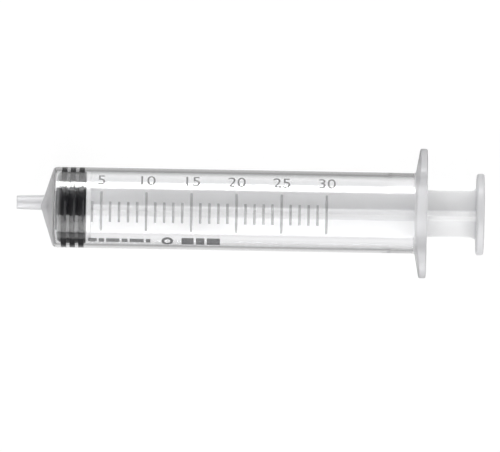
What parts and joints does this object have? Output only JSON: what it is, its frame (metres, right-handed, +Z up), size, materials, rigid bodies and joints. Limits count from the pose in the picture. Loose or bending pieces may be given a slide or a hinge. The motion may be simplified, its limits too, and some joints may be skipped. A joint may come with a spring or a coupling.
{
  "type": "luer slip syringe",
  "caption": "Clear disposable syringe with an off-centre tapered slip nozzle, finger flange, black rubber piston and cross-ribbed plunger that slides and turns.",
  "frame": {"origin": "middle of the footprint, on the surface that the syringe lies on", "axes": "+X along the barrel from the nozzle to the thumb rest, +Z up through the printed scale, +Y along one finger ear"},
  "size_m": [0.1394, 0.0386, 0.026],
  "materials": {
    "clear_plastic": "clear moulded polypropylene, glossy, with grey printed scale",
    "black_rubber": "moulded black rubber, satin with a thin film of silicone",
    "milky_plastic": "natural polypropylene, milky and translucent, soft gloss"
  },
  "bodies": {
    "barrel": {"barrel": "clear_plastic"},
    "piston": {"piston": "black_rubber"},
    "plunger": {"plunger": "milky_plastic"}
  },
  "joints": [
    {"name": "plunger_slide", "type": "slide", "parent": "barrel", "child": "piston", "axis": [1, 0, 0], "range_m": [0, 0.087]},
    {"name": "plunger_turn", "type": "hinge", "parent": "piston", "child": "plunger", "pos_m": [0, 0, 0.013], "axis": [1, 0, 0], "continuous": true}
  ]
}
